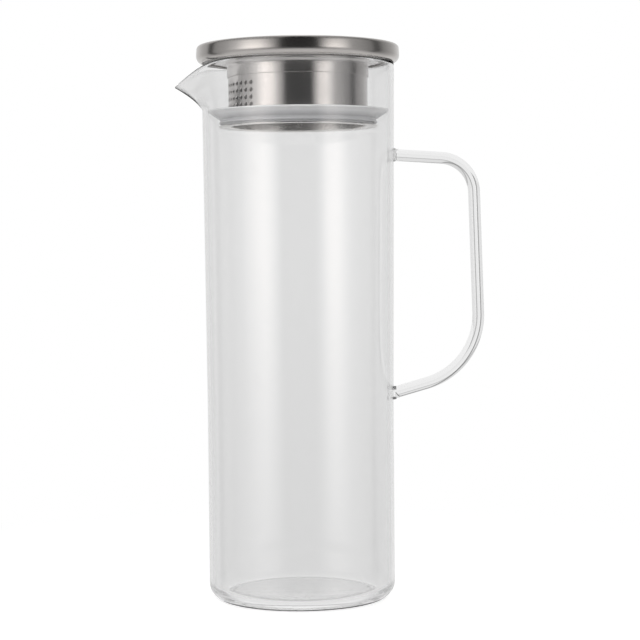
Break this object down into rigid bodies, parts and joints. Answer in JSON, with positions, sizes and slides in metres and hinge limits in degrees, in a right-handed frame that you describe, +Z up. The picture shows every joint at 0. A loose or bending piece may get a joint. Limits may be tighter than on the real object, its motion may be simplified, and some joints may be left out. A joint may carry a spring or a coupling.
{
  "type": "carafe with lid",
  "caption": "Tall straight clear glass carafe with a drawn pouring lip, a bent glass rod handle and a flat steel strainer lid that lifts out and turns to pour or to close.",
  "frame": {"origin": "middle of the standing face, on the axis of the vessel", "axes": "+Z up along the vessel's axis, +X towards the handle, -X towards the pouring lip"},
  "size_m": [0.1533, 0.101, 0.2754],
  "materials": {
    "glass": "clear, fire polished",
    "steel": "satin, brushed round",
    "silicone": "translucent white, satin"
  },
  "bodies": {
    "vessel": {"carafe_body": "glass", "handle": "glass"},
    "seal": {"seal_ring": "silicone"},
    "lid": {"lid_top_shell": "steel", "lid_under_plate": "steel", "neck_collar": "steel", "strainer_sleeve": "steel", "seal_retainer": "steel"}
  },
  "joints": [
    {"name": "lid_lift", "type": "slide", "parent": "vessel", "child": "seal", "axis": [0, 0, 1], "range_m": [0, 0.06]},
    {"name": "lid_turn", "type": "hinge", "parent": "seal", "child": "lid", "pos_m": [0, 0, 0.2667], "axis": [0, 0, 1], "continuous": true}
  ]
}
